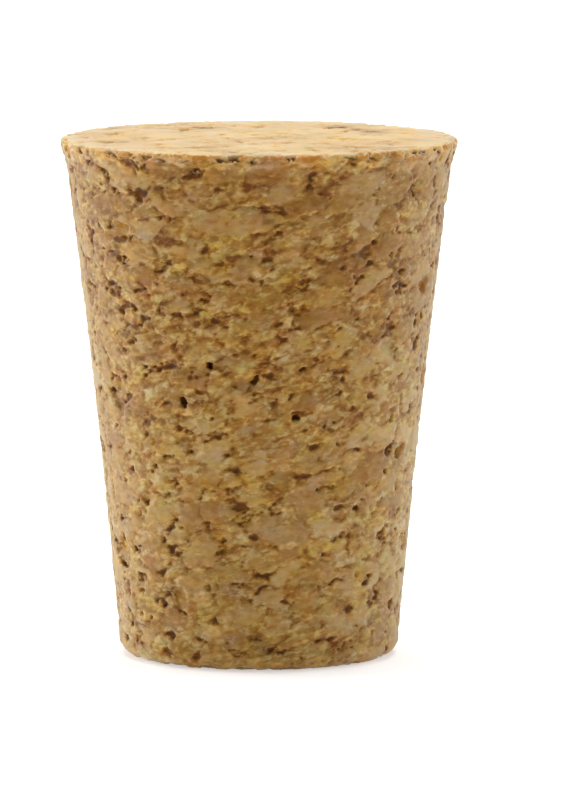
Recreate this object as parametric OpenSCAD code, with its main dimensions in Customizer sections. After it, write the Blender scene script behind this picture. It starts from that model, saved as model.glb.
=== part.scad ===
// Tapered bottle stopper, ground to shape from one block of bonded cork granules.
// It stands on its narrow end: the origin is the middle of that face, and +Z runs up
// the axis to the wide end. The front is towards -Y.

/* [Body] */
// Diameter across the rim of the wide end
top_d = 10; // [8.5:0.1:14]
// Diameter at the narrow end, where the line of the flank meets its face
base_d = 7; // [5:0.1:8]
// Length from the narrow face to the wide face
length = 13; // [9:0.5:24]

/* [Flank] */
// How far the flank bows inwards at mid length
flank_bow = 0.08; // [0:0.01:0.3]
// How far the rim flares out past the line of the flank
rim_flare = 0.15; // [0:0.01:0.4]
// Height over which it flares, down from the wide face
flare_h = 0.9; // [0.5:0.1:3]

/* [Edges] */
// Radius worn on the rim of the wide end
rim_r = 0.12; // [0.05:0.01:0.3]
// Radius of the rounded edge at the narrow end
base_r = 0.4; // [0.2:0.05:0.8]

/* [Torn beds] */
// Number of shallow beds round the flank, where the grinder tore a granule away
beds = 60; // [0:1:100]
// Width of the narrowest and the widest bed
bed_w = [0.7, 1.3]; // [0.5:0.1:2]
// Depth of a bed
bed_depth = 0.06; // [0.03:0.01:0.15]

/* [Voids] */
// Width of a common granule, which the voids placed one by one are measured in
granule_w = 1; // [0.6:0.1:1.6]
// Number of open voids round the sides and back of the flank
back_voids = 44; // [0:1:90]
// Number of pinholes in the wide face
top_voids = 18; // [0:1:40]
// Number of pinholes in the narrow face
base_voids = 10; // [0:1:24]
// Width of the narrowest and the widest void round the sides and back
void_w = [0.16, 0.5]; // [0.1:0.01:0.8]
// Depth of a void for each millimetre of its smaller side
void_depth_ratio = 1.1; // [0.5:0.1:1.6]
// Greatest depth of any void
void_depth_max = 0.35; // [0.2:0.05:0.8]
// Width of the narrowest and the widest pinhole
pinhole_w = [0.1, 0.22]; // [0.05:0.01:0.4]
// Start of the random numbers that shape and scatter the beds and the voids
scatter = 7; // [1:1:99]

/* [Hidden] */

cork = [0.74, 0.58, 0.38];

flank_steps = 6;        // straight steps up the bowed flank
edge_steps = 4;         // straight steps round the flare and round each edge
front = 270;            // direction of -Y, from which a void's bearing is counted
front_sector = 72;      // half the sector whose voids are placed one by one
golden = 137.5;         // turn between neighbours that spreads a pattern evenly
stray = 0.1;            // share of a turn by which a scattered void strays from that
bed_clear = 0.05;       // share of the length at each end where no bed has its middle
end_clear = 0.03;       // share of the length kept free of scattered voids at each end
face_clear = 0.5;       // land kept free of pinholes inside the edge of an end face
proud = 0.25;           // how far the tool that cuts a hollow stands out of the surface
bed_slim = 0.6;         // height of the slimmest bed, as a share of its width
bed_roll = 25;          // greatest roll of a bed out of the level
bed_corners = 4;        // corners of a bed's outline
bed_lean = 5;           // greatest tilt of a bed's floor
void_slim = 0.45;       // height of the slimmest scattered void, as a share of its width
void_roll = 30;         // greatest roll of a scattered void out of the level
void_corners = 5;       // corners of a void's outline
corner_min = 0.62;      // reach of a hollow's innermost corner, as a share of the outermost
corner_stray = 0.3;     // share of the way to the next corner by which a corner strays
void_lean = 16;         // greatest lean of a void's walls
crack_from = 0.44;      // voids at least this wide run out into a crack
crack_reach = 0.9;      // length of that crack for each millimetre of the void's width
crack_w = 0.08;         // width of the crack at its root
crack_depth = 0.12;     // depth of the crack
series = 1000;          // numbers kept for the seeds of each kind of hollow
FRONT_KIND = 0;         // the voids placed one by one
BACK_KIND = 1;          // the voids scattered over the rest of the flank
BED_KIND = 2;           // the torn beds
PINHOLE_KIND = 3;       // the pinholes

// The larger voids of the front, placed one by one:
// [bearing from the front, share of the length, width and height in granules, roll].
FRONT_VOIDS = [
    [-53, 0.985, 0.20, 0.18,   0], [-39, 0.960, 0.20, 0.36,  10], [-18, 0.970, 0.45, 0.22,  -8],
    [ -1, 0.985, 0.40, 0.16,  12], [ 22, 0.985, 0.20, 0.14,   0], [ 67, 0.972, 0.24, 0.20,   0],
    [  9, 0.935, 0.14, 0.32, -15], [  0, 0.915, 0.34, 0.10,  -6], [-17, 0.900, 0.32, 0.15,   8],
    [ 39, 0.900, 0.28, 0.22,  20], [-26, 0.830, 0.32, 0.16,   0], [ -2, 0.805, 0.24, 0.19,  15],
    [-47, 0.790, 0.30, 0.20,  30], [-26, 0.770, 0.22, 0.16, -30], [  5, 0.735, 0.27, 0.14, -25],
    [-18, 0.720, 0.34, 0.15,   8], [ 11, 0.700, 0.58, 0.13,  28], [ 41, 0.675, 0.26, 0.17, -35],
    [ 68, 0.670, 0.28, 0.26,  40], [ 20, 0.650, 0.14, 0.28,   0], [ 31, 0.610, 0.20, 0.18,   0],
    [-17, 0.595, 0.36, 0.34,  25], [ 15, 0.585, 0.56, 0.18,  12], [ -1, 0.565, 0.26, 0.38, -20],
    [-27, 0.520, 0.34, 0.46,  40], [ 13, 0.490, 0.33, 0.30,  15], [  1, 0.480, 0.23, 0.16,   0],
    [ 29, 0.440, 0.23, 0.21,  30], [-48, 0.430, 0.50, 0.15,  22], [ 15, 0.410, 0.18, 0.31,   0],
    [-40, 0.390, 0.44, 0.24,  30], [ 53, 0.375, 0.22, 0.18,   0], [ 22, 0.350, 0.30, 0.18,  10],
    [-18, 0.325, 0.50, 0.13, -20], [ 39, 0.310, 0.44, 0.20,   6], [-14, 0.255, 0.30, 0.16,  22],
    [ 26, 0.225, 0.48, 0.16,   5], [-16, 0.215, 0.19, 0.28, -20], [-55, 0.225, 0.30, 0.24,   0],
    [ 41, 0.185, 0.27, 0.20,  35], [-20, 0.165, 0.17, 0.25,  10], [ 12, 0.085, 0.22, 0.16,   0],
    [ 25, 0.060, 0.56, 0.11,  -4]
];

base_half = base_d / 2;

// Radius that rounding an edge by r takes off a flank that leans by the given angle
function rounding_loss(r, lean) = r * ((1 + sin(lean)) / cos(lean) - 1);

// Lean of the flank under the rim, where the taper, the bow and the flare add up
rim_lean = atan((top_d - base_d) / 2 / length + 4 * flank_bow / length + 2 * rim_flare / flare_h);

// Where the line of the flank would meet the wide face if it didn't flare
neck_half = top_d / 2 + rounding_loss(rim_r, rim_lean) - rim_flare;
taper = (neck_half - base_half) / length;

// Inward bow and outward flare of the flank at height z
function flare_share(z) = max(0, 1 - (length - z) / flare_h);
function bow(z) = 4 * flank_bow * z / length * (1 - z / length);
function flare(z) = rim_flare * pow(flare_share(z), 2);

// Radius of the flank at height z, and the angle by which it leans outwards there
function flank_r(z) = base_half + taper * z - bow(z) + flare(z);
function flank_lean(z) = atan(
    taper - 4 * flank_bow / length * (1 - 2 * z / length)
    + 2 * rim_flare / flare_h * flare_share(z)
);

// Points of an arc about a centre, from one angle to another
function arc(centre, r, from, to) = [
    for (i = [0 : edge_steps])
        let (a = from + (to - from) * i / edge_steps)
        centre + r * [cos(a), sin(a)]
];

// Points up the flank in even steps, without the one at the lower height
function flank(from, to, steps) = [
    for (i = [1 : steps])
        let (z = from + (to - from) * i / steps)
        [flank_r(z), z]
];

// Half section of the stopper: narrow face, rounded edge, bowed flank, flare, worn rim
// and wide face
function half_section() =
    let (
        base_lean = flank_lean(0),
        base_centre = [base_half - base_r * (1 - sin(base_lean)) / cos(base_lean), base_r],
        rim_centre = [top_d / 2 - rim_r, length - rim_r],
        low = base_r * (1 - sin(base_lean)),
        high = length - rim_r * (1 + sin(rim_lean))
    )
    concat(
        [[0, 0]],
        arc(base_centre, base_r, -90, -base_lean),
        flank(low, length - flare_h, flank_steps),
        flank(length - flare_h, high, edge_steps),
        [for (p = arc(rim_centre, rim_r, -rim_lean, 90)) if (p[1] > high) p],
        [[0, length]]
    );

// Seed of one hollow, by its kind and its number
function seed_of(kind, item) = scatter + series * kind + item;

// Value at the given share of the way through a range
function within(span, share) = span[0] + (span[1] - span[0]) * share;

// An angular hollow, cut below z = 0, that leans to one side. Its width runs along y and
// its height along x.
module hollow(wide, tall, depth, corners, lean, seed) {
    reach = rands(corner_min, 1, corners, seed);
    mix = rands(-1, 1, corners + 2, seed + series / 2);
    rotate([lean * mix[corners], lean * mix[corners + 1], 0])
        translate([0, 0, -depth])
            linear_extrude(depth + proud)
                polygon([
                    for (i = [0 : corners - 1])
                        let (a = 360 * (i + corner_stray * mix[i]) / corners)
                        reach[i] / 2 * [tall * cos(a), wide * sin(a)]
                ]);
}

// The pocket left open where granules don't meet
module pocket(wide, tall, seed) {
    depth = min(void_depth_max, void_depth_ratio * min(wide, tall));
    hollow(wide, tall, depth, void_corners, void_lean, seed);
}

// A fine crack that tapers away from the middle of a void to one side
module crack(wide, seed) {
    drift = rands(-void_lean, void_lean, 1, seed)[0];
    run = (1 / 2 + crack_reach) * wide;
    rotate([0, 0, drift > 0 ? drift : 180 + drift])
        translate([0, 0, -crack_depth])
            linear_extrude(crack_depth + proud)
                polygon([[-crack_w / 2, 0], [crack_w / 2, 0], [0, run]]);
}

module void_between(wide, tall, seed) {
    pocket(wide, tall, seed);
    if (wide >= crack_from) crack(wide, seed);
}

// Sets a hollow on the flank, at a bearing from the front and a share of the length
module on_flank(bearing, share, roll) {
    z = share * length;
    rotate([0, 0, front + bearing])
        translate([flank_r(z), 0, z])
            rotate([0, 90 + flank_lean(z), 0])
                rotate([0, 0, roll])
                    children();
}

module front_voids() {
    for (i = [0 : len(FRONT_VOIDS) - 1]) {
        v = FRONT_VOIDS[i];
        on_flank(v[0], v[1], v[4])
            void_between(v[2] * granule_w, v[3] * granule_w, seed_of(FRONT_KIND, i));
    }
}

// Voids of mixed sizes over the rest of the flank, spread by the golden angle
module back_voids() {
    open_sector = 360 - 2 * front_sector;
    for (i = [0 : 1 : back_voids - 1]) {
        seed = seed_of(BACK_KIND, i);
        mix = rands(0, 1, 5, seed);
        turns = i * golden / 360 + stray * mix[4];
        bearing = front_sector + open_sector * (turns - floor(turns));
        share = within([end_clear, 1 - end_clear], (i + mix[0]) / back_voids);
        wide = within(void_w, pow(mix[1], 2));
        tall = wide * within([void_slim, 1], mix[3]);
        on_flank(bearing, share, within([-void_roll, void_roll], mix[2]))
            void_between(wide, tall, seed);
    }
}

// The beds of granules that the grinder tore away: shallow hollows of mixed sizes, each
// deeper towards one side, all round the flank by the golden angle
module torn_beds() {
    for (i = [0 : 1 : beds - 1]) {
        seed = seed_of(BED_KIND, i);
        mix = rands(0, 1, 4, seed);
        share = within([bed_clear, 1 - bed_clear], (i + mix[0]) / beds);
        wide = within(bed_w, mix[1]);
        tall = wide * within([bed_slim, 1], mix[2]);
        on_flank(i * golden, share, within([-bed_roll, bed_roll], mix[3]))
            hollow(wide, tall, bed_depth, bed_corners, bed_lean, seed);
    }
}

// Pinholes spread evenly over an end face of radius r, cut below z = 0
module pinholes(count, r) {
    for (i = [0 : 1 : count - 1]) {
        seed = seed_of(PINHOLE_KIND, i);
        mix = rands(pinhole_w[0], pinhole_w[1], 2, seed);
        rotate([0, 0, i * golden])
            translate([(r - face_clear) * sqrt((i + 1 / 2) / count), 0, 0])
                rotate([0, 0, i * golden]) pocket(mix[0], mix[1], seed);
    }
}

module stopper() {
    color(cork)
        difference() {
            rotate_extrude($fn = 180) polygon(half_section());
            torn_beds();
            front_voids();
            back_voids();
            translate([0, 0, length]) pinholes(top_voids, top_d / 2);
            mirror([0, 0, 1]) pinholes(base_voids, base_half);
        }
}

stopper();
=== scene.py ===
"""A tapered cork stopper, dressed and lit.

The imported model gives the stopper's true form, with its larger voids. This script grows the
relief of the bonded granules over that form, gives it its finishes and stands it on a pale
floor in soft studio light.
"""

import logging
import math
from collections.abc import Mapping, Sequence
from dataclasses import dataclass, replace
from enum import Enum

import bmesh
import bpy
import numpy as np
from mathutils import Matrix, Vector


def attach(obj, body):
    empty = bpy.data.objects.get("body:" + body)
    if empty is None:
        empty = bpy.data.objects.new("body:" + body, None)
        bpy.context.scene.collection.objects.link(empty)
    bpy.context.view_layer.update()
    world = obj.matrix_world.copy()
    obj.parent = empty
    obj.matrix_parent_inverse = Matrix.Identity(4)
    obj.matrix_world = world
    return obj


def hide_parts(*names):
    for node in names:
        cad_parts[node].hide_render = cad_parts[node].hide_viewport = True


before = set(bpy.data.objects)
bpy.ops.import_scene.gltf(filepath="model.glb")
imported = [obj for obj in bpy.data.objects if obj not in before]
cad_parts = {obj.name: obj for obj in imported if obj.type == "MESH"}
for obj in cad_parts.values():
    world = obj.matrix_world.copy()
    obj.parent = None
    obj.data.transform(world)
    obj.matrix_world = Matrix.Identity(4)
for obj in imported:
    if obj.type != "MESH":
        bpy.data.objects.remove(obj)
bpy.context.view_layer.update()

MM = 0.001

Socket = bpy.types.NodeSocket
Value = Socket | float | Sequence[float]
Colour = tuple[float, float, float, float]
Triple = tuple[float, float, float]
Span = tuple[float, float]

WHITE: Colour = (1.0, 1.0, 1.0, 1.0)

log = logging.getLogger("stopper")


def colour(code: str) -> Colour:
    """Turn a written colour into the linear one that nodes use.

    Args:
        code: Six hex digits of an sRGB colour.

    Returns:
        The linear colour, opaque.
    """
    channels = [int(code[i : i + 2], 16) / 255 for i in (0, 2, 4)]
    linear = [c / 12.92 if c <= 0.04045 else ((c + 0.055) / 1.055) ** 2.4 for c in channels]
    return (*linear, 1.0)


class TreeKind(Enum):
    """The kinds of node tree that are written here."""

    SHADER = "ShaderNodeTree"
    GEOMETRY = "GeometryNodeTree"


class Graph:
    """A node tree under construction, with short calls for the nodes used most."""

    def __init__(self, tree: bpy.types.NodeTree) -> None:
        """Start on a tree.

        Args:
            tree: The tree that the nodes are added to.
        """
        self.tree = tree

    @classmethod
    def start(
        cls, name: str, kind: TreeKind, given: Mapping[str, str], put_out: Mapping[str, str]
    ) -> tuple["Graph", bpy.types.NodeInputs]:
        """Start a new tree that has named inputs and outputs.

        Args:
            name: The tree's name.
            kind: Its kind.
            given: The kind of each input, by name.
            put_out: The kind of each output, by name.

        Returns:
            The tree, and the sockets on which its inputs arrive.
        """
        tree = bpy.data.node_groups.new(name, kind.value)
        for way, sockets in (("INPUT", given), ("OUTPUT", put_out)):
            for socket, socket_kind in sockets.items():
                tree.interface.new_socket(socket, in_out=way, socket_type=f"NodeSocket{socket_kind}")
        g = cls(tree)
        return g, g.add("NodeGroupInput").outputs

    def put_out(self, *values: Socket) -> None:
        """Link the tree's outputs.

        Args:
            values: What they put out, in order.
        """
        for socket, value in zip(self.add("NodeGroupOutput").inputs, values):
            self.feed(socket, value)

    def feed(self, socket: Socket, value: Value) -> None:
        """Link or set an input.

        Args:
            socket: The input.
            value: The output to link, or the value to set.
        """
        if isinstance(value, bpy.types.NodeSocket):
            self.tree.links.new(value, socket)
        else:
            socket.default_value = value

    def add(
        self, kind: str, values: Mapping[int | str, Value] | None = None, **settings: object
    ) -> bpy.types.Node:
        """Add a node.

        Args:
            kind: The node's type name.
            values: What its inputs are fed with, by name or number.
            settings: The node's own properties.

        Returns:
            The new node.
        """
        node = self.tree.nodes.new(kind)
        for name, setting in settings.items():
            setattr(node, name, setting)
        for key, value in (values or {}).items():
            self.feed(node.inputs[key], value)
        return node

    def math(self, operation: str, *values: Value) -> Socket:
        """Add a maths node.

        Args:
            operation: The node's operation.
            values: Its inputs, in order.

        Returns:
            The result.
        """
        return self.add("ShaderNodeMath", dict(enumerate(values)), operation=operation).outputs[0]

    def product(self, *values: Value) -> Socket:
        """Multiply two numbers."""
        return self.math("MULTIPLY", *values)

    def plus(self, base: Value, value: Value, weight: Value) -> Socket:
        """Add a weighted number to another.

        Args:
            base: What is added to.
            value: What is added.
            weight: What that is multiplied by first.

        Returns:
            The sum.
        """
        return self.math("MULTIPLY_ADD", value, weight, base)

    def off_middle(self, value: Value) -> Socket:
        """Shift a random value from 0 to 1 so that it is as often below 0 as above."""
        return self.math("SUBTRACT", value, 0.5)

    def vector(self, operation: str, *values: Value) -> Socket:
        """Add a vector maths node.

        Args:
            operation: The node's operation.
            values: Its inputs, in order.

        Returns:
            The resulting vector.
        """
        return self.add("ShaderNodeVectorMath", dict(enumerate(values)), operation=operation).outputs[0]

    def measure(self, operation: str, *values: Value) -> Socket:
        """Add a vector maths node whose result is a number, with the same arguments as vector."""
        values_by_number = dict(enumerate(values))
        return self.add("ShaderNodeVectorMath", values_by_number, operation=operation).outputs["Value"]

    def scaled(self, vector: Value, factor: Value) -> Socket:
        """Scale a vector.

        Args:
            vector: The vector.
            factor: What it is multiplied by.

        Returns:
            The scaled vector.
        """
        return self.add("ShaderNodeVectorMath", {0: vector, 3: factor}, operation="SCALE").outputs[0]

    def parts(self, vector: Value) -> list[Socket]:
        """Split a vector or a colour into its three parts."""
        return list(self.add("ShaderNodeSeparateXYZ", {0: vector}).outputs)

    def joined(self, *values: Value) -> Socket:
        """Join up to three numbers into a vector, with 0 for what is missing."""
        return self.add("ShaderNodeCombineXYZ", dict(enumerate(values))).outputs[0]

    def outwards(self, place: Socket) -> Socket:
        """Find the level way out from the stopper's axis."""
        x, y, _ = self.parts(place)
        return self.vector("NORMALIZE", self.joined(x, y))

    def step(
        self, value: Value, start: Value, end: Value, low: Value = 0.0, high: Value = 1.0
    ) -> Socket:
        """Ease from one value to another as an input crosses a range.

        Args:
            value: The input.
            start: Where the change starts.
            end: Where it ends.
            low: The result at the start.
            high: The result at the end.

        Returns:
            The eased value.
        """
        values = {0: value, 1: start, 2: end, 3: low, 4: high}
        return self.add("ShaderNodeMapRange", values, interpolation_type="SMOOTHSTEP").outputs[0]

    def fade(self, value: Value, start: Value, end: Value) -> Socket:
        """Ease from 1 down to 0 as an input crosses a range, with the arguments of step."""
        return self.step(value, start, end, 1.0, 0.0)

    def noise(
        self, place: Value, scale: Value, detail: Value = 2.0, roughness: float = 0.5
    ) -> bpy.types.NodeOutputs:
        """Add a noise texture.

        Args:
            place: Where it is read.
            scale: How many waves it has in a unit.
            detail: How many finer octaves it has.
            roughness: How strong those are.

        Returns:
            Its outputs: 0 is a value and 1 a colour.
        """
        values = {"Vector": place, "Scale": scale, "Detail": detail, "Roughness": roughness}
        return self.add("ShaderNodeTexNoise", values).outputs

    def cells(self, place: Value) -> list[Socket]:
        """Add a texture of irregular cells, one unit wide.

        Args:
            place: Where it is read.

        Returns:
            Three random values for each cell, from 0 to 1, and the distance from its middle.
        """
        node = self.add("ShaderNodeTexVoronoi", {"Vector": place, "Scale": 1.0}, feature="F1")
        return [*self.parts(node.outputs["Color"]), node.outputs["Distance"]]

    def edges(self, place: Value) -> Socket:
        """Measure how far the nearest edge between the same irregular cells is.

        Args:
            place: Where it is read.

        Returns:
            The distance, in cell widths.
        """
        values = {"Vector": place, "Scale": 1.0}
        return self.add("ShaderNodeTexVoronoi", values, feature="DISTANCE_TO_EDGE").outputs[0]

    def mix(self, factor: Value, first: Value, second: Value) -> Socket:
        """Mix two colours.

        Args:
            factor: The share of the second.
            first: The first colour.
            second: The second colour.

        Returns:
            The mixed colour.
        """
        values = {0: factor, 6: first, 7: second}
        return self.add("ShaderNodeMix", values, data_type="RGBA").outputs[2]

    def lerp(self, factor: Value, first: Value, second: Value) -> Socket:
        """Mix two numbers.

        Args:
            factor: The share of the second.
            first: The first number.
            second: The second number.

        Returns:
            The mixed number.
        """
        values = {0: factor, 2: first, 3: second}
        return self.add("ShaderNodeMix", values, data_type="FLOAT").outputs[0]

    def ramp(self, factor: Value, stops: Sequence[tuple[float, str]]) -> Socket:
        """Add a colour ramp.

        Args:
            factor: Where the ramp is read.
            stops: The place and the written colour of each stop, in order.

        Returns:
            The colour.
        """
        node = self.add("ShaderNodeValToRGB", {0: factor})
        elements = node.color_ramp.elements
        while len(elements) < len(stops):
            elements.new(0.5)
        for element, (place, code) in zip(elements, stops):
            element.position = place
            element.color = colour(code)
        return node.outputs[0]


@dataclass(frozen=True)
class CorkPattern:
    """The granules, torn plates, crumbs and pits that run all through the cork.

    Sizes and heights are in millimetres, scales in waves for each millimetre, and what is
    measured from the border of a granule or a crumb is a share of its width. The same nodes
    are written into a geometry tree, where they shape the relief, and into a shader tree,
    where they colour it, so the two agree.
    """

    # Widths, and how the layers lie: flatter than wide, and rising to one side
    granule: float = 1.0
    crumb: float = 0.36
    flake: float = 0.19
    flatness: float = 1.6
    tilt: float = 0.14

    # How far the granules' outlines wander and how ragged they are
    drift: float = 0.6
    drift_scale: float = 0.9
    rag: float = 0.26
    rag_scale: float = 3.0
    torn_share: float = 0.35

    # Crumbs, flakes and the dark specks in the middle of some granules
    gap_width: float = 0.2
    crumb_border: float = 0.16
    low_crumbs: Span = (0.2, 0.4)
    flake_cut: Span = (0.35, 0.65)
    speck_radius: Span = (0.05, 0.1)
    speck_lots: Span = (0.5, 0.54)

    # Where granules are torn to crumbs: in patches, at their borders and near the foot
    patch_scale: float = 1.3
    crumbly_from: Span = (0.42, 0.6)
    crumbly_lot: float = 0.3
    crumbly_border: float = 0.25
    crumbly_border_lean: Span = (0.16, -0.06)
    crumbly_foot: Span = (0.3, 2.0)
    crumbly_foot_lean: float = 0.08

    # Ledges of a torn granule, and the cracks between granules
    ledge_scales: Span = (1.5, 2.9)
    ledge_cuts: tuple[Span, Span] = ((0.47, 0.53), (0.45, 0.55))
    ledge_shares: Triple = (0.4, 0.35, 0.25)
    crack_width: float = 0.1
    crack_scale: float = 1.9
    crack_cut: Span = (0.55, 0.4)

    # Pits, each with a stain and a painted highlight on its torn lip: most between granules and under
    # the rim
    pit_scale: float = 2.0
    pit_level: Span = (0.375, 0.335)
    pit_border: float = 0.22
    pit_crumbly: float = 0.04
    pit_rim: float = 0.04
    rim_height: Span = (12.4, 12.7)
    pit_wall: float = 0.06
    stain_width: float = 0.07
    lip_width: float = 0.022
    lip_flakes: Span = (0.3, 0.6)

    # Heights
    plate_rise: float = 0.018
    border_width: float = 0.2
    border_fall: float = 0.01
    ledge_rise: float = 0.025
    crumb_fall: float = 0.01
    crack_depth: float = 0.025
    gap_depth: float = 0.015
    pit_depth: float = 0.08

    OUTPUTS = (
        "Tone", "Lot", "Crumb", "Flake", "Level", "Crumbly", "Gap", "Crack", "Lip", "Pit",
        "Stain", "Speck", "Height",
    )

    def group(self, kind: TreeKind) -> bpy.types.NodeTree:
        """Write the pattern as a node group.

        Args:
            kind: The kind of tree it is for.

        Returns:
            The group. It reads Place, in millimetres, and puts out masks and random values
            from 0 to 1, and Height in millimetres, which is never above 0.
        """
        outputs = {name: "Float" for name in self.OUTPUTS}
        name = f"cork_pattern_{kind.name.lower()}"
        g, given = Graph.start(name, kind, {"Place": "Vector"}, outputs)

        x, y, z = g.parts(given["Place"])
        place = g.joined(x, y, g.product(g.plus(z, x, -self.tilt), self.flatness))
        slow = self.wander(g, place, self.drift_scale, 1, self.drift)
        fast = self.wander(g, place, self.rag_scale, 3, self.rag)
        ragged = g.vector("ADD", place, fast)
        torn = g.vector("ADD", place, g.scaled(fast, self.torn_share))

        granule_place = g.scaled(g.vector("ADD", ragged, slow), 1 / self.granule)
        tone, lot, rise, off_centre = g.cells(granule_place)
        border = g.edges(granule_place)
        crumb, raised, beside = self.crumbs(g, torn)
        flake = g.step(g.noise(torn, 1 / self.flake, 1)[0], *self.flake_cut)
        speck = g.product(g.fade(off_centre, *self.speck_radius), g.step(lot, *self.speck_lots))

        crumbly = self.crumbliness(g, place, z, lot, border)
        level = self.ledges(g, torn, raised)
        thread = g.noise(place, self.crack_scale)[0]
        crack = g.product(g.fade(border, 0.0, self.crack_width), g.step(thread, *self.crack_cut))
        gap = g.product(beside, crumbly)
        pit, stain, lip = self.pits(g, torn, z, crumbly, border, flake)

        smooth = g.step(border, 0.0, self.border_width, -self.border_fall, 0.0)
        smooth = g.plus(smooth, rise, -self.plate_rise)
        rough = g.plus(g.plus(-self.ledge_rise, crumb, -self.crumb_fall), level, self.ledge_rise)
        height = g.lerp(crumbly, smooth, rough)
        for part, depth in (
            (crack, self.crack_depth), (gap, self.gap_depth), (pit, self.pit_depth),
        ):
            height = g.plus(height, part, -depth)

        g.put_out(
            tone, lot, crumb, flake, level, crumbly, gap, crack, lip, pit, stain, speck, height
        )
        return g.tree

    @staticmethod
    def wander(g: Graph, place: Socket, scale: float, detail: float, reach: float) -> Socket:
        """Make a random shift that wanders from place to place.

        Args:
            g: The tree it is written into.
            place: Where it is read.
            scale: How fast it wanders.
            detail: How many finer octaves it has.
            reach: How far it shifts, from side to side.

        Returns:
            The shift.
        """
        random = g.noise(place, scale, detail)[1]
        return g.scaled(g.vector("SUBTRACT", random, (0.5, 0.5, 0.5)), reach)

    def crumbs(self, g: Graph, torn: Socket) -> tuple[Socket, Socket, Socket]:
        """Scatter the crumbs that a torn granule breaks into.

        Args:
            g: The tree they are written into.
            torn: Where they are read.

        Returns:
            A random value for each crumb, how high it stands, and the gaps beside low ones.
        """
        place = g.scaled(torn, 1 / self.crumb)
        crumb, raised = g.cells(place)[:2]
        border = g.edges(place)
        beside = g.product(g.fade(border, 0.0, self.gap_width), g.fade(raised, *self.low_crumbs))
        within = g.step(border, 0.0, self.crumb_border)
        crumb, raised = (g.lerp(within, 0.5, value) for value in (crumb, raised))
        return crumb, raised, beside

    def crumbliness(
        self, g: Graph, place: Socket, height: Socket, lot: Socket, border: Socket
    ) -> Socket:
        """Find where granules are torn to crumbs and not cut clean.

        Args:
            g: The tree it is written into.
            place: Where it is read.
            height: How far up the stopper that is.
            lot: A random value for each granule.
            border: How far the granule's border is.

        Returns:
            How torn the cork is, from 0 to 1.
        """
        patch = g.noise(place, self.patch_scale, 3, 0.6)[0]
        foot = g.step(height, *self.crumbly_foot, self.crumbly_foot_lean, 0.0)
        patch = g.math("ADD", patch, foot)
        near_border = g.step(border, 0.0, self.crumbly_border, *self.crumbly_border_lean)
        patch = g.math("ADD", patch, near_border)
        return g.step(g.plus(patch, g.off_middle(lot), self.crumbly_lot), *self.crumbly_from)

    def ledges(self, g: Graph, torn: Socket, raised: Socket) -> Socket:
        """Stack the ledges that a torn granule breaks along.

        Args:
            g: The tree they are written into.
            torn: Where they are read.
            raised: How high each crumb on them stands.

        Returns:
            How high the torn cork stands, from 0 to 1.
        """
        large, middle = (
            g.step(g.noise(torn, scale, detail, 0.55)[0], *cut)
            for scale, detail, cut in zip(self.ledge_scales, (3, 2), self.ledge_cuts)
        )
        level = g.product(large, self.ledge_shares[0])
        level = g.plus(level, middle, self.ledge_shares[1])
        return g.plus(level, raised, self.ledge_shares[2])

    def pits(
        self, g: Graph, torn: Socket, height: Socket, crumbly: Socket, border: Socket, flake: Socket
    ) -> tuple[Socket, Socket, Socket]:
        """Sink the small pits where bits of cork fell out.

        Args:
            g: The tree they are written into.
            torn: Where they are read.
            height: How far up the stopper that is.
            crumbly: How torn the cork is.
            border: How far the granule's border is.
            flake: A random value for each flake.

        Returns:
            Masks of the pits, of the stain round them and of the painted highlight on their torn lips.
        """
        level = g.step(border, 0.0, self.pit_border, *self.pit_level)
        level = g.plus(level, crumbly, self.pit_crumbly)
        level = g.math("ADD", level, g.step(height, *self.rim_height, 0.0, self.pit_rim))
        stained = g.math("ADD", level, self.stain_width)
        worn = g.noise(torn, self.pit_scale, 3, 0.55)[0]
        pit = g.fade(worn, g.math("SUBTRACT", level, self.pit_wall), level)
        stain = g.fade(worn, level, stained)
        outside = g.math("ABSOLUTE", g.math("SUBTRACT", worn, stained))
        # Painted highlight: a thin pale line on the lip just outside each pit's stain
        lip = g.product(g.fade(outside, 0.0, self.lip_width), g.step(flake, *self.lip_flakes))
        return pit, stain, lip


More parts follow.
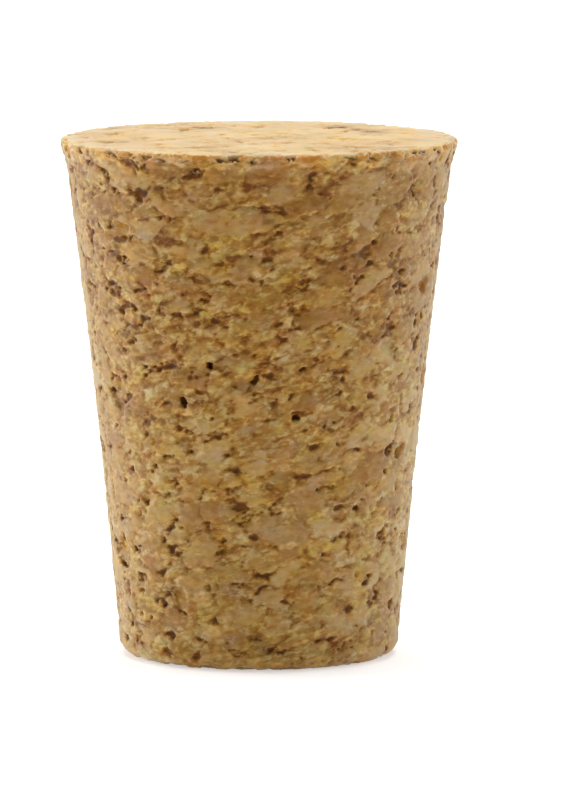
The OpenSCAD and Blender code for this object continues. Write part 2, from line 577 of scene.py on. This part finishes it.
@dataclass(frozen=True)
class CorkGrain:
    """The mottling, the grain and the drifting hue of the cork, whichever way it is cut.

    Scales are in waves for each millimetre, and hues are what a colour is multiplied by.
    """

    flatness: float = 1.8
    roughness: float = 0.6
    grain_scale: float = 3.6
    fine_scale: float = 11.0
    tint_scale: float = 1.5
    warm_scale: float = 2.0
    plate_hues: tuple[Colour, Colour] = ((0.99, 0.99, 1.13, 1.0), (1.02, 1.0, 0.93, 1.0))
    crumb_hue: Colour = (1.01, 1.0, 0.93, 1.0)

    INPUTS = {
        "Place": "Vector",
        "Lot": "Float",
        "Crumbly": "Float",
        "Mottle Scale": "Float",
        "Mottle Detail": "Float",
        "Tint": "Vector",
        "Warmth": "Vector",
    }
    OUTPUTS = {"Mottle": "Float", "Grain": "Float", "Fine": "Float", "Hue": "Color"}

    def group(self) -> bpy.types.NodeTree:
        """Write the grain as a shader group.

        Returns:
            The group. It reads Place, in millimetres, and puts out three random values from
            0 to 1, coarse to fine, and the hue.
        """
        g, given = Graph.start("cork_grain", TreeKind.SHADER, self.INPUTS, self.OUTPUTS)
        lying = g.vector("MULTIPLY", given["Place"], (1.0, 1.0, self.flatness))
        mottle, grain, fine = (
            g.noise(lying, scale, detail, self.roughness)[0]
            for scale, detail in (
                (given["Mottle Scale"], given["Mottle Detail"]),
                (self.grain_scale, 2),
                (self.fine_scale, 3),
            )
        )
        random = g.vector("SUBTRACT", g.noise(lying, self.tint_scale)[1], (0.5, 0.5, 0.5))
        hue = g.vector("MULTIPLY_ADD", random, given["Tint"], WHITE[:3])
        warm = g.off_middle(g.noise(lying, self.warm_scale)[0])
        warmth = g.vector("ADD", g.scaled(given["Warmth"], warm), WHITE[:3])
        hue = g.vector("MULTIPLY", hue, warmth)
        plate = g.mix(given["Lot"], *self.plate_hues)
        hue = g.vector("MULTIPLY", hue, g.mix(given["Crumbly"], plate, self.crumb_hue))
        g.put_out(mottle, grain, fine, hue)
        return g.tree


@dataclass(frozen=True)
class Finish:
    """A finish of the cork: how one kind of cut left it, and its tones from dark to light.

    What starts with by_ says how far a part of the pattern moves the tone along the palette,
    up or down, and the plain names below those say how far the part darkens or lightens it.
    Depths and distances are in millimetres.
    """

    name: str
    palette: tuple[tuple[float, str], ...]

    by_granule: float = 0.35
    by_crumb: float = 0.38
    by_flake: float = 0.3
    by_plate_flake: float = 0.12
    # Painted shade: lower ledges and crumbs of torn cork are painted darker
    by_ledge_shade: float = 0.25
    by_mottle: float = 0.55
    by_grain: float = 0.6
    by_fine: float = 0.07
    # Painted light: the cork is painted lighter towards the foot and darker towards the top
    by_foot_light: float = 0.15

    # Gap, crack and pit: painted shade in those recesses, which the relief also sinks
    gap: float = 0.08
    crack: float = 0.2
    pit: float = 0.34
    stain: float = 0.07
    speck: float = 0.1
    # Painted highlight on the torn lips round the pits
    lip: float = 0.25
    fleck: float = 0.1
    bright_flecks: Span = (1.45, 1.6)
    foot_light_range: Span = (1.5, 11.5)

    # The band of other tones along the two edges: crumbled golden cork and a painted highlight
    rim: float = 0.78
    rim_reach: Span = (0.18, 0.46)
    rim_crumb: float = 0.12
    rim_grain: float = 1.2
    rim_lots: Span = (0.25, 0.75)
    rim_wear_and_highlight_tones: tuple[str, str] = ("d69a44", "f2d08e")

    # Painted shade in the voids: the deeper a point lies, the darker and browner it is painted
    upper_hollow_shade: float = 0.14
    upper_hollow_shade_depth: Span = (0.03, 0.08)
    deep_hollow_shade: float = 0.85
    deep_depth: Span = (0.09, 0.16)
    depth_grain: float = 0.2
    hollow_shade_tone: str = "653a10"

    mottle_scale: float = 1.3
    mottle_detail: float = 3.0
    tint: Triple = (0.2, 0.15, 1.5)
    warmth: Triple = (0.35, 0.0, -1.1)

    # The bare surface, and how far light scatters under it
    grain_bump: float = 0.005
    roughness: float = 0.6
    specular: float = 0.15
    sheen: float = 0.65
    sheen_roughness: float = 0.5
    sheen_tone: str = "fff6e6"
    scatter: float = 0.12
    scatter_radius: Triple = (0.85, 0.55, 0.35)

    def material(
        self, pattern: bpy.types.NodeTree, grain: bpy.types.NodeTree
    ) -> bpy.types.Material:
        """Make the material.

        Args:
            pattern: The cork pattern's shader group.
            grain: The cork grain's group.

        Returns:
            The material. It reads where a point lay before the relief from "rest", how far
            it lies below the plain outline from "depth", and how far from an edge from "edge".
        """
        material = bpy.data.materials.new(self.name)
        material.use_nodes = True
        g = Graph(material.node_tree)
        place = g.add("ShaderNodeAttribute", attribute_name="rest").outputs["Vector"]
        depth, edge = (
            g.add("ShaderNodeAttribute", attribute_name=name).outputs["Fac"]
            for name in ("depth", "edge")
        )
        cork = g.add("ShaderNodeGroup", {"Place": place}, node_tree=pattern).outputs
        own = {
            "Place": place,
            "Lot": cork["Lot"],
            "Crumbly": cork["Crumbly"],
            "Mottle Scale": self.mottle_scale,
            "Mottle Detail": self.mottle_detail,
            "Tint": self.tint,
            "Warmth": self.warmth,
        }
        texture = g.add("ShaderNodeGroup", own, node_tree=grain).outputs

        uneven = g.off_middle(texture["Grain"])
        depth = g.plus(depth, uneven, self.depth_grain)
        edge = g.plus(edge, g.off_middle(cork["Crumb"]), self.rim_crumb)
        edge = g.fade(g.plus(edge, uneven, self.rim_grain), *self.rim_reach)
        light = self.light(g, cork, texture, g.parts(place)[2])
        # Painted shade: a point down in a void is painted darker, as if shade fell there
        shade = g.step(depth, *self.upper_hollow_shade_depth, 0.0, -self.upper_hollow_shade)
        base = g.ramp(g.math("ADD", light, shade), self.palette)
        # The band along the edges: the crumbled edge's own tone, and a painted highlight
        rim = g.mix(g.step(cork["Crumb"], *self.rim_lots), *map(colour, self.rim_wear_and_highlight_tones))
        base = g.mix(g.product(edge, self.rim), base, rim)
        # Painted shade: the deepest parts of the voids are painted dark brown
        deep = g.step(depth, *self.deep_depth, 0.0, self.deep_hollow_shade)
        base = g.mix(deep, base, colour(self.hollow_shade_tone))
        base = g.vector("MULTIPLY", base, texture["Hue"])
        bump = {"Height": texture["Fine"], "Distance": self.grain_bump * MM}

        shader = material.node_tree.nodes["Principled BSDF"]
        for name, value in {
            "Base Color": base,
            "Normal": g.add("ShaderNodeBump", bump).outputs[0],
            "Roughness": self.roughness,
            "Specular IOR Level": self.specular,
            "Sheen Weight": self.sheen,
            "Sheen Roughness": self.sheen_roughness,
            "Sheen Tint": colour(self.sheen_tone),
            "Subsurface Weight": 1.0,
            "Subsurface Radius": self.scatter_radius,
            "Subsurface Scale": self.scatter * MM,
        }.items():
            g.feed(shader.inputs[name], value)
        return material

    def light(
        self,
        g: Graph,
        cork: bpy.types.NodeOutputs,
        texture: bpy.types.NodeOutputs,
        height: Socket,
    ) -> Socket:
        """Work out how light the cork is, as a place on the palette.

        Args:
            g: The material's tree.
            cork: What the pattern puts out.
            texture: What the grain puts out.
            height: How far up the stopper the point lies.

        Returns:
            The place on the palette, from 0 to 1 and sometimes past either.
        """
        clean = g.product(g.off_middle(cork["Tone"]), self.by_granule)
        clean = g.plus(clean, g.off_middle(cork["Flake"]), self.by_plate_flake)
        torn = g.product(g.off_middle(cork["Crumb"]), self.by_crumb)
        torn = g.plus(torn, g.off_middle(cork["Flake"]), self.by_flake)
        # Painted shade: the lower a ledge lies, the darker it is painted
        torn = g.plus(torn, g.off_middle(cork["Level"]), self.by_ledge_shade)
        light = g.math("ADD", g.lerp(cork["Crumbly"], clean, torn), 0.5)
        for part, weight in (
            ("Mottle", self.by_mottle), ("Grain", self.by_grain), ("Fine", self.by_fine),
        ):
            light = g.plus(light, g.off_middle(texture[part]), weight)
        # Painted light: lighter towards the foot, as if lit from below
        light = g.plus(light, g.step(height, *self.foot_light_range, 0.5, -0.5), self.by_foot_light)
        bright = g.step(g.math("ADD", cork["Crumb"], cork["Flake"]), *self.bright_flecks)
        light = g.plus(light, g.product(bright, cork["Crumbly"]), self.fleck)
        # Painted shade: gaps, cracks and pits are painted darker than the cork round them
        for part, weight in (
            ("Gap", -self.gap), ("Crack", -self.crack), ("Pit", -self.pit), ("Stain", -self.stain),
            # Painted highlight: the torn lips round the pits are painted lighter
            ("Speck", -self.speck), ("Lip", self.lip),
        ):
            light = g.plus(light, cork[part], weight)
        return light


GROUND_FLANK = Finish(
    name="cork_ground_flank",
    palette=(
        (0.0, "824d0c"), (0.12, "9a641a"), (0.25, "ac792e"), (0.38, "b98b44"),
        (0.5, "c69c56"), (0.65, "cfab66"), (0.8, "d8b976"), (1.0, "e3c687"),
    ),
)
SLICED_FACE = Finish(
    name="cork_sliced_face",
    # Paler than the flank's tones: in part painted light, the top painted lighter for the light that
    # falls on it from above
    palette=(
        (0.0, "6b451c"), (0.15, "a67b41"), (0.35, "dfb06a"),
        (0.5, "eec17b"), (0.75, "f8d18e"), (1.0, "fcdda2"),
    ),
    by_granule=0.28,
    by_crumb=0.08,
    by_flake=0.05,
    by_plate_flake=0.02,
    by_ledge_shade=0.05,
    by_mottle=1.0,
    by_grain=0.4,
    by_fine=0.3,
    by_foot_light=0.0,
    gap=0.03,
    crack=0.12,
    pit=0.08,
    stain=0.02,
    speck=0.6,
    lip=0.0,
    fleck=0.05,
    # On the face the band is a painted highlight, pale cream along the edge
    rim=0.5,
    rim_reach=(0.1, 1.2),
    rim_wear_and_highlight_tones=("f0d29c", "f8e6c2"),
    mottle_scale=0.55,
    mottle_detail=1.0,
    tint=(0.25, 0.1, 0.8),
    warmth=(0.16, 0.0, -0.5),
    grain_bump=0.003,
    sheen=0.6,
)
DEEP_HOLLOW = replace(GROUND_FLANK, name="cork_deep_hollow", specular=0.05, sheen=0.0)


@dataclass(frozen=True)
class CorkRelief:
    """The geometry trees that grow the granules' relief over the stopper's plain form.

    Sizes are in millimetres.
    """

    # The closed skin that the plain form is turned into, and the density at its surface
    skin: float = 0.2
    threshold: float = 0.08

    # The flat faces: how much of the relief they keep, how level that makes a face, and how
    # thick their finish is
    face_relief: float = 0.6
    face_lean: Span = (0.6, 0.95)
    face_reach: float = 0.035

    # The voids: their lumpy floors, and their walls, which stand square to the flank
    hollow_reach: float = 0.08
    floor_depth: Span = (0.12, 0.17)
    lump_scale: float = 5.5
    lump_cut: Span = (0.4, 0.58)
    lump_height: Span = (-0.02, 0.09)
    wall_facing: Span = (0.6, 0.85)
    wall_depth: Span = (0.02, 0.06)
    wall_share: float = 0.5

    # The chips along the two edges
    chip_scale: float = 2.6
    chip_cut: Span = (0.47, 0.65)
    chip_depth: float = 0.22
    chip_reach: Span = (0.05, 0.3)
    chip_slant: float = 0.7

    def close_mesh(self) -> bpy.types.NodeTree:
        """Write the tree that turns the plain form into one fine, even mesh.

        Returns:
            The tree. It takes metres and gives millimetres.
        """
        g, given = self.start("cork_close_mesh", "Voxel")
        mesh = self.resized(g, given["Geometry"], 1 / MM)
        values = {"Mesh": mesh, "Voxel Size": given["Voxel"], "Interior Band Width": self.skin}
        volume = g.add("GeometryNodeMeshToVolume", values, resolution_mode="VOXEL_SIZE").outputs[0]
        values = {"Volume": volume, "Threshold": self.threshold}
        mesh = g.add("GeometryNodeVolumeToMesh", values).outputs[0]
        mesh = g.add("GeometryNodeRealizeInstances", {"Geometry": mesh}).outputs[0]
        g.put_out(g.add("GeometryNodeSetMaterial", {"Geometry": mesh}).outputs[0])
        return g.tree

    def relief(
        self,
        pattern: bpy.types.NodeTree,
        flank: bpy.types.Material,
        end: bpy.types.Material,
        hollow: bpy.types.Material,
    ) -> bpy.types.NodeTree:
        """Write the tree that moves the fine mesh's points into the cork's relief.

        Args:
            pattern: The cork pattern's geometry group.
            flank: The flank's material.
            end: The material of the two flat faces.
            hollow: The material of the deep hollows.

        Returns:
            The tree. It takes millimetres and gives metres.
        """
        g, given = self.start("cork_relief", "Length")
        place = g.add("GeometryNodeInputPosition").outputs[0]
        normal = g.add("GeometryNodeInputNormal").outputs[0]
        values = {"Geometry": given["Geometry"], "Name": "rest", "Value": place}
        kinds = {"data_type": "FLOAT_VECTOR", "domain": "POINT"}
        mesh = g.add("GeometryNodeStoreNamedAttribute", values, **kinds).outputs[0]

        height = g.add("GeometryNodeGroup", {"Place": place}, node_tree=pattern).outputs["Height"]
        upright = g.math("ABSOLUTE", g.parts(normal)[2])
        height = g.product(height, g.step(upright, *self.face_lean, 1.0, self.face_relief))
        lump, in_void = self.lumps(g, place, normal)
        height = g.lerp(in_void, height, lump)
        chip = self.chips(g, place, given["Length"])
        move = g.vector("ADD", g.scaled(normal, height), chip)
        mesh = g.add("GeometryNodeSetPosition", {"Geometry": mesh, "Offset": move}).outputs[0]

        mesh = self.resized(g, mesh, MM)
        mesh = g.add("GeometryNodeRealizeInstances", {"Geometry": mesh}).outputs[0]
        z = g.parts(self.noted(g, "rest", "FLOAT_VECTOR"))[2]
        at_top = g.math("GREATER_THAN", z, g.math("SUBTRACT", given["Length"], self.face_reach))
        at_end = g.math("MAXIMUM", at_top, g.math("LESS_THAN", z, self.face_reach))
        deep = g.math("GREATER_THAN", self.noted(g, "depth"), self.hollow_reach)
        for material, where in ((flank, True), (end, at_end), (hollow, deep)):
            values = {"Geometry": mesh, "Selection": where, "Material": material}
            mesh = g.add("GeometryNodeSetMaterial", values).outputs[0]
        g.put_out(mesh)
        return g.tree

    def lumps(self, g: Graph, place: Socket, normal: Socket) -> tuple[Socket, Socket]:
        """Roughen the voids with the granules that they lie between.

        Args:
            g: The tree it is written into.
            place: Where a point lies.
            normal: Which way it faces.

        Returns:
            How far the point moves outwards, and whether it lies in a void, from 0 to 1.
        """
        depth = self.noted(g, "depth")
        lump = g.noise(place, self.lump_scale, 2, 0.6)[0]
        lump = g.step(lump, *self.lump_cut, *self.lump_height)
        lump = g.math("MINIMUM", lump, depth)
        facing = g.measure("DOT_PRODUCT", normal, g.outwards(place))
        wall = g.product(g.fade(facing, *self.wall_facing), g.step(depth, *self.wall_depth))
        lump = g.product(lump, g.plus(1.0, wall, -self.wall_share))
        return lump, g.math("MAXIMUM", wall, g.step(depth, *self.floor_depth))

    def chips(self, g: Graph, place: Socket, length: Socket) -> Socket:
        """Chip the stopper's two edges away, slantwise.

        Args:
            g: The tree it is written into.
            place: Where a point lies.
            length: The stopper's length.

        Returns:
            How far the point moves.
        """
        chip = g.noise(place, self.chip_scale, 3, 0.6)[0]
        chip = g.step(chip, *self.chip_cut, 0.0, self.chip_depth)
        chip = g.product(chip, g.fade(self.noted(g, "edge"), *self.chip_reach))
        lower = g.plus(g.product(g.parts(place)[2], -1.0), length, 0.5)
        rise = g.joined(0.0, 0.0, g.math("SIGN", lower))
        inward = g.vector("SUBTRACT", rise, g.outwards(place))
        return g.scaled(g.scaled(inward, self.chip_slant), chip)

    @staticmethod
    def start(name: str, size: str) -> tuple[Graph, bpy.types.NodeInputs]:
        """Start a geometry tree.

        Args:
            name: Its name.
            size: The name of the size that it is given besides the geometry.

        Returns:
            The tree and what it is given.
        """
        given = {"Geometry": "Geometry", size: "Float"}
        return Graph.start(name, TreeKind.GEOMETRY, given, {"Geometry": "Geometry"})

    @staticmethod
    def resized(g: Graph, mesh: Socket, factor: float) -> Socket:
        """Scale a mesh evenly about the origin.

        Args:
            g: The tree it is written into.
            mesh: The mesh.
            factor: How many times larger it becomes.

        Returns:
            The scaled mesh.
        """
        values = {"Geometry": mesh, "Scale": (factor,) * 3}
        return g.add("GeometryNodeTransform", values).outputs[0]

    @staticmethod
    def noted(g: Graph, name: str, kind: str = "FLOAT") -> Socket:
        """Read a value kept for each point.

        Args:
            g: The tree it is written into.
            name: The attribute's name.
            kind: Its data type.

        Returns:
            The value.
        """
        return g.add("GeometryNodeInputNamedAttribute", {"Name": name}, data_type=kind).outputs[0]


class Profile:
    """The stopper's outline, read from the rings of vertices round the plain CAD form."""

    RING_VERTICES = 40

    def __init__(self, mesh: bpy.types.Mesh) -> None:
        """Read the outline.

        Args:
            mesh: The CAD node's mesh.
        """
        x, y, z = points(mesh).T / MM
        radius = np.hypot(x, y)
        level = np.round(z, 2)
        rings = [(h, radius[level == h].max(), (level == h).sum()) for h in np.unique(level)]
        outer = [(h, r) for h, r, count in rings if count > self.RING_VERTICES]
        self.heights, self.radii = (np.array(v) for v in zip(*outer))
        self.top = z.max()

    def depth(self, places: np.ndarray) -> np.ndarray:
        """Measure how far points lie under the plain outline.

        Args:
            places: The points, in millimetres.

        Returns:
            The depth of each, in millimetres.
        """
        x, y, z = places.T
        side = np.interp(z, self.heights, self.radii) - np.hypot(x, y)
        return np.minimum(np.minimum(side, self.top - z), np.maximum(z, 0))

    def from_edge(self, places: np.ndarray) -> np.ndarray:
        """Measure how far points lie from the nearer of the top's and the base's edge.

        Args:
            places: The points, in millimetres.

        Returns:
            The distance of each, in millimetres.
        """
        x, y, z = places.T
        radius = np.hypot(x, y)
        from_rim = np.hypot(self.radii.max() - radius, self.top - z)
        return np.minimum(from_rim, np.hypot(self.radii[0] - radius, z))


def points(mesh: bpy.types.Mesh) -> np.ndarray:
    """Read where a mesh's points lie.

    Args:
        mesh: The mesh.

    Returns:
        The points, one to a row.
    """
    places = np.empty(len(mesh.vertices) * 3)
    mesh.vertices.foreach_get("co", places)
    return places.reshape(-1, 3)


def note(mesh: bpy.types.Mesh, name: str, values: np.ndarray) -> None:
    """Keep a value for each point on a mesh.

    Args:
        mesh: The mesh.
        name: The attribute's name.
        values: The values.
    """
    kept = mesh.attributes.get(name) or mesh.attributes.new(name, "FLOAT", "POINT")
    kept.data.foreach_set("value", values.astype(np.float32))


@dataclass
class Stopper:
    """The stopper itself: one ground piece of bonded cork.

    The voxel of the fine mesh is in millimetres, and the reach within which the loose
    triangles' corners are merged is in metres.
    """

    node: str = "stopper"
    slot: str = "cork"
    name: str = "stopper_cork"
    voxel: float = 0.05
    merged: float = 1e-7
    triangles: int = 190_000

    def plain_copy(self) -> bpy.types.Object:
        """Copy the CAD node and close its loose triangles up.

        Returns:
            The copy, as an object of its own.
        """
        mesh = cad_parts[self.node].data.copy()
        mesh.materials.clear()
        shape = bmesh.new()
        shape.from_mesh(mesh)
        bmesh.ops.remove_doubles(shape, verts=shape.verts, dist=self.merged)
        shape.to_mesh(mesh)
        shape.free()
        piece = bpy.data.objects.new(self.name, mesh)
        bpy.context.scene.collection.objects.link(piece)
        return piece

    @staticmethod
    def bake(piece: bpy.types.Object) -> bpy.types.Mesh:
        """Turn a piece's modifiers into plain mesh.

        Args:
            piece: The piece.

        Returns:
            Its new mesh.
        """
        graph = bpy.context.evaluated_depsgraph_get()
        piece.data = bpy.data.meshes.new_from_object(piece.evaluated_get(graph), depsgraph=graph)
        piece.modifiers.clear()
        return piece.data

    def grow(
        self, piece: bpy.types.Object, tree: bpy.types.NodeTree, sizes: Mapping[str, float]
    ) -> bpy.types.Mesh:
        """Run a geometry tree on a piece.

        Args:
            piece: The piece.
            tree: The tree.
            sizes: Its inputs, by name.

        Returns:
            The piece's new mesh.
        """
        modifier = piece.modifiers.new(tree.name, "NODES")
        modifier.node_group = tree
        for item in tree.interface.items_tree:
            if item.in_out == "INPUT" and item.name in sizes:
                modifier[item.identifier] = float(sizes[item.name])
        return self.bake(piece)

    def thin(self, piece: bpy.types.Object) -> bpy.types.Mesh:
        """Thin a piece's mesh out to the wanted number of triangles.

        Args:
            piece: The piece.

        Returns:
            Its new mesh.
        """
        piece.data.calc_loop_triangles()
        full = len(piece.data.loop_triangles)
        modifier = piece.modifiers.new("thin", "DECIMATE")
        modifier.ratio = min(1.0, self.triangles / full)
        mesh = self.bake(piece)
        mesh.shade_smooth()
        mesh.calc_loop_triangles()
        kept = len(mesh.loop_triangles)
        log.info("%s: %d triangles before thinning, %d after", piece.name, full, kept)
        return mesh

    def build(self) -> bpy.types.Object:
        """Build and dress the stopper.

        Returns:
            The finished piece.
        """
        outline = Profile(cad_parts[self.node].data)
        pattern = CorkPattern()
        relief = CorkRelief()
        groups = (pattern.group(TreeKind.SHADER), CorkGrain().group())
        finishes = [f.material(*groups) for f in (GROUND_FLANK, SLICED_FACE, DEEP_HOLLOW)]

        piece = self.plain_copy()
        mesh = self.grow(piece, relief.close_mesh(), {"Voxel": self.voxel})
        places = points(mesh)
        note(mesh, "depth", outline.depth(places))
        note(mesh, "edge", outline.from_edge(places))
        tree = relief.relief(pattern.group(TreeKind.GEOMETRY), *finishes)
        self.grow(piece, tree, {"Length": outline.top})
        mesh = self.thin(piece)
        mesh.name = self.name
        note(mesh, "depth", outline.depth(points(mesh) / MM))

        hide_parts(self.node)
        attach(piece, "root")
        return piece


@dataclass(frozen=True)
class Lamp:
    """A soft square lamp: where it hangs and how wide it is, in metres, and its watts."""

    name: str
    place: Triple
    size: float
    power: float

    def hang(self, target: Vector) -> None:
        """Hang the lamp.

        Args:
            target: What it faces.
        """
        light = bpy.data.lights.new(self.name, "AREA")
        light.shape = "SQUARE"
        light.size = self.size
        light.energy = self.power
        lamp = bpy.data.objects.new(self.name, light)
        lamp.location = self.place
        lamp.rotation_euler = (target - lamp.location).to_track_quat("-Z", "Y").to_euler()
        bpy.context.scene.collection.objects.link(lamp)


@dataclass(frozen=True)
class Studio:
    """The floor, the light and the camera. Sizes are in metres.

    The floor shows brighter away from the stopper, so that it joins the white background,
    and its own glow lights the stopper only faintly.
    """

    floor_size: float = 2.0
    floor_tone: float = 0.88
    floor_glow: Span = (0.5, 1.0)
    floor_glow_from: Span = (0.1, 0.4)
    bounce: float = 0.05
    ambient: float = 0.08
    lamps: tuple[Lamp, ...] = (
        Lamp("left", (-0.25, 0.1, 0.06), size=0.2, power=0.54),
        Lamp("right", (0.25, 0.1, 0.06), size=0.2, power=0.255),
        Lamp("top", (0.0, 0.05, 0.3), size=0.25, power=0.82),
        Lamp("front", (0.0, -0.24, 0.08), size=0.25, power=0.11),
    )

    # The camera: degrees up, how far away it stands and what height it looks at, and in the
    # render how many pixels a millimetre takes and how many the stopper stands to the left
    elevation: float = 7.0
    distance: float = 0.2
    target_height: float = 0.0064
    picture_height: int = 798
    scale: float = 39.9
    aside: float = 29.0
    clip: Span = (0.01, 10.0)

    @property
    def target(self) -> Vector:
        """The point that the camera and the lamps face."""
        return Vector((0, 0, self.target_height))

    def floor(self) -> None:
        """Lay the pale floor."""
        bpy.ops.mesh.primitive_plane_add(size=self.floor_size)
        floor = bpy.context.object
        floor.name = "floor"
        material = bpy.data.materials.new("pale_floor")
        material.use_nodes = True
        g = Graph(material.node_tree)
        shader = material.node_tree.nodes["Principled BSDF"]
        shader.inputs["Base Color"].default_value = (*(self.floor_tone,) * 3, 1.0)
        shader.inputs["Roughness"].default_value = 1.0
        shader.inputs["Specular IOR Level"].default_value = 0.0
        seen = g.add("ShaderNodeLightPath").outputs["Is Camera Ray"]
        away = g.measure("LENGTH", g.add("ShaderNodeTexCoord").outputs["Object"])
        strength = g.lerp(seen, self.bounce, g.step(away, *self.floor_glow_from, *self.floor_glow))
        glow = g.add("ShaderNodeEmission", {"Color": WHITE, "Strength": strength})
        both = g.add("ShaderNodeAddShader", {0: shader.outputs[0], 1: glow.outputs[0]})
        g.feed(material.node_tree.nodes["Material Output"].inputs[0], both.outputs[0])
        floor.data.materials.append(material)

    def world(self) -> None:
        """Surround the scene with soft white light."""
        world = bpy.data.worlds.new("studio")
        bpy.context.scene.world = world
        world.use_nodes = True
        g = Graph(world.node_tree)
        back = world.node_tree.nodes["Background"]
        seen = g.add("ShaderNodeLightPath").outputs["Is Camera Ray"]
        back.inputs["Color"].default_value = WHITE
        g.feed(back.inputs["Strength"], g.lerp(seen, self.ambient, 1.0))

    def camera(self) -> None:
        """Set the camera up."""
        data = bpy.data.cameras.new("camera")
        data.lens = data.sensor_width * self.scale / MM * self.distance / self.picture_height
        data.clip_start, data.clip_end = self.clip
        data.shift_x = self.aside / self.picture_height
        camera = bpy.data.objects.new("camera", data)
        tilt = math.radians(self.elevation)
        back = Vector((0, -math.cos(tilt), math.sin(tilt)))
        camera.location = self.target + back * self.distance
        camera.rotation_euler = (self.target - camera.location).to_track_quat("-Z", "Y").to_euler()
        bpy.context.scene.collection.objects.link(camera)
        bpy.context.scene.camera = camera

    def build(self) -> None:
        """Set the whole studio up."""
        bpy.context.scene.view_settings.view_transform = "Standard"
        self.floor()
        self.world()
        for lamp in self.lamps:
            lamp.hang(self.target)
        self.camera()


def main() -> None:
    """Build the stopper and its studio in order, and report them."""
    logging.basicConfig(level=logging.INFO, format="%(name)s: %(message)s")
    piece = Stopper().build()
    log.info("%s: built, with %d points", piece.name, len(piece.data.vertices))
    studio = Studio()
    studio.build()
    log.info("studio: a floor, a camera and %d lamps", len(studio.lamps))


if __name__ == "__main__":
    main()
